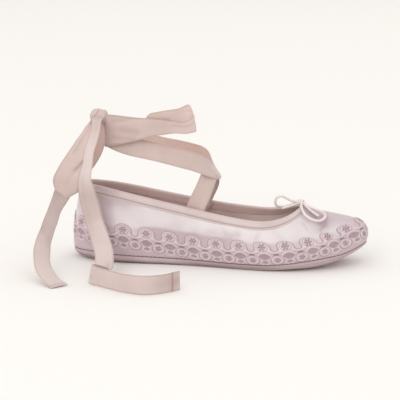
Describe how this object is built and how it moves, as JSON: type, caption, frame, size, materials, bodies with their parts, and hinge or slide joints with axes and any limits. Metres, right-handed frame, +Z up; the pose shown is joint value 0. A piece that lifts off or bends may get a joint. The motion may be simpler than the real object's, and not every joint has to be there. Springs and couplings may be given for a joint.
{
  "type": "ballet flat",
  "caption": "Satin ballet flat with a scalloped relief rim, a drawstring bow at the throat and a ribbon tied around the ankle in a loose bow.",
  "frame": {"origin": "on the ground under the middle of the shoe's length and width, measured without the bow", "axes": "+X from the heel to the toe, +Y to the medial side, +Z up"},
  "size_m": [0.2634, 0.1653, 0.1333],
  "materials": {
    "upper": "satin, pale pink, with a woven relief rim",
    "binding": "folded satin binding",
    "ribbon": "satin ribbon",
    "cord": "round woven cord",
    "insole": "matt",
    "outsole": "matt, brushed"
  },
  "bodies": {
    "root": {"outsole": "outsole", "insole": "insole", "upper": "upper", "topline_binding": "binding", "ankle_ribbon": "ribbon", "ribbon_knot": "ribbon", "ribbon_wing_loop": "ribbon", "ribbon_heel_loop": "ribbon", "ribbon_front_tail": "ribbon", "ribbon_side_tail": "ribbon", "throat_knot": "cord", "throat_standing_loop": "cord", "throat_lying_loop": "cord"}
  },
  "joints": []
}
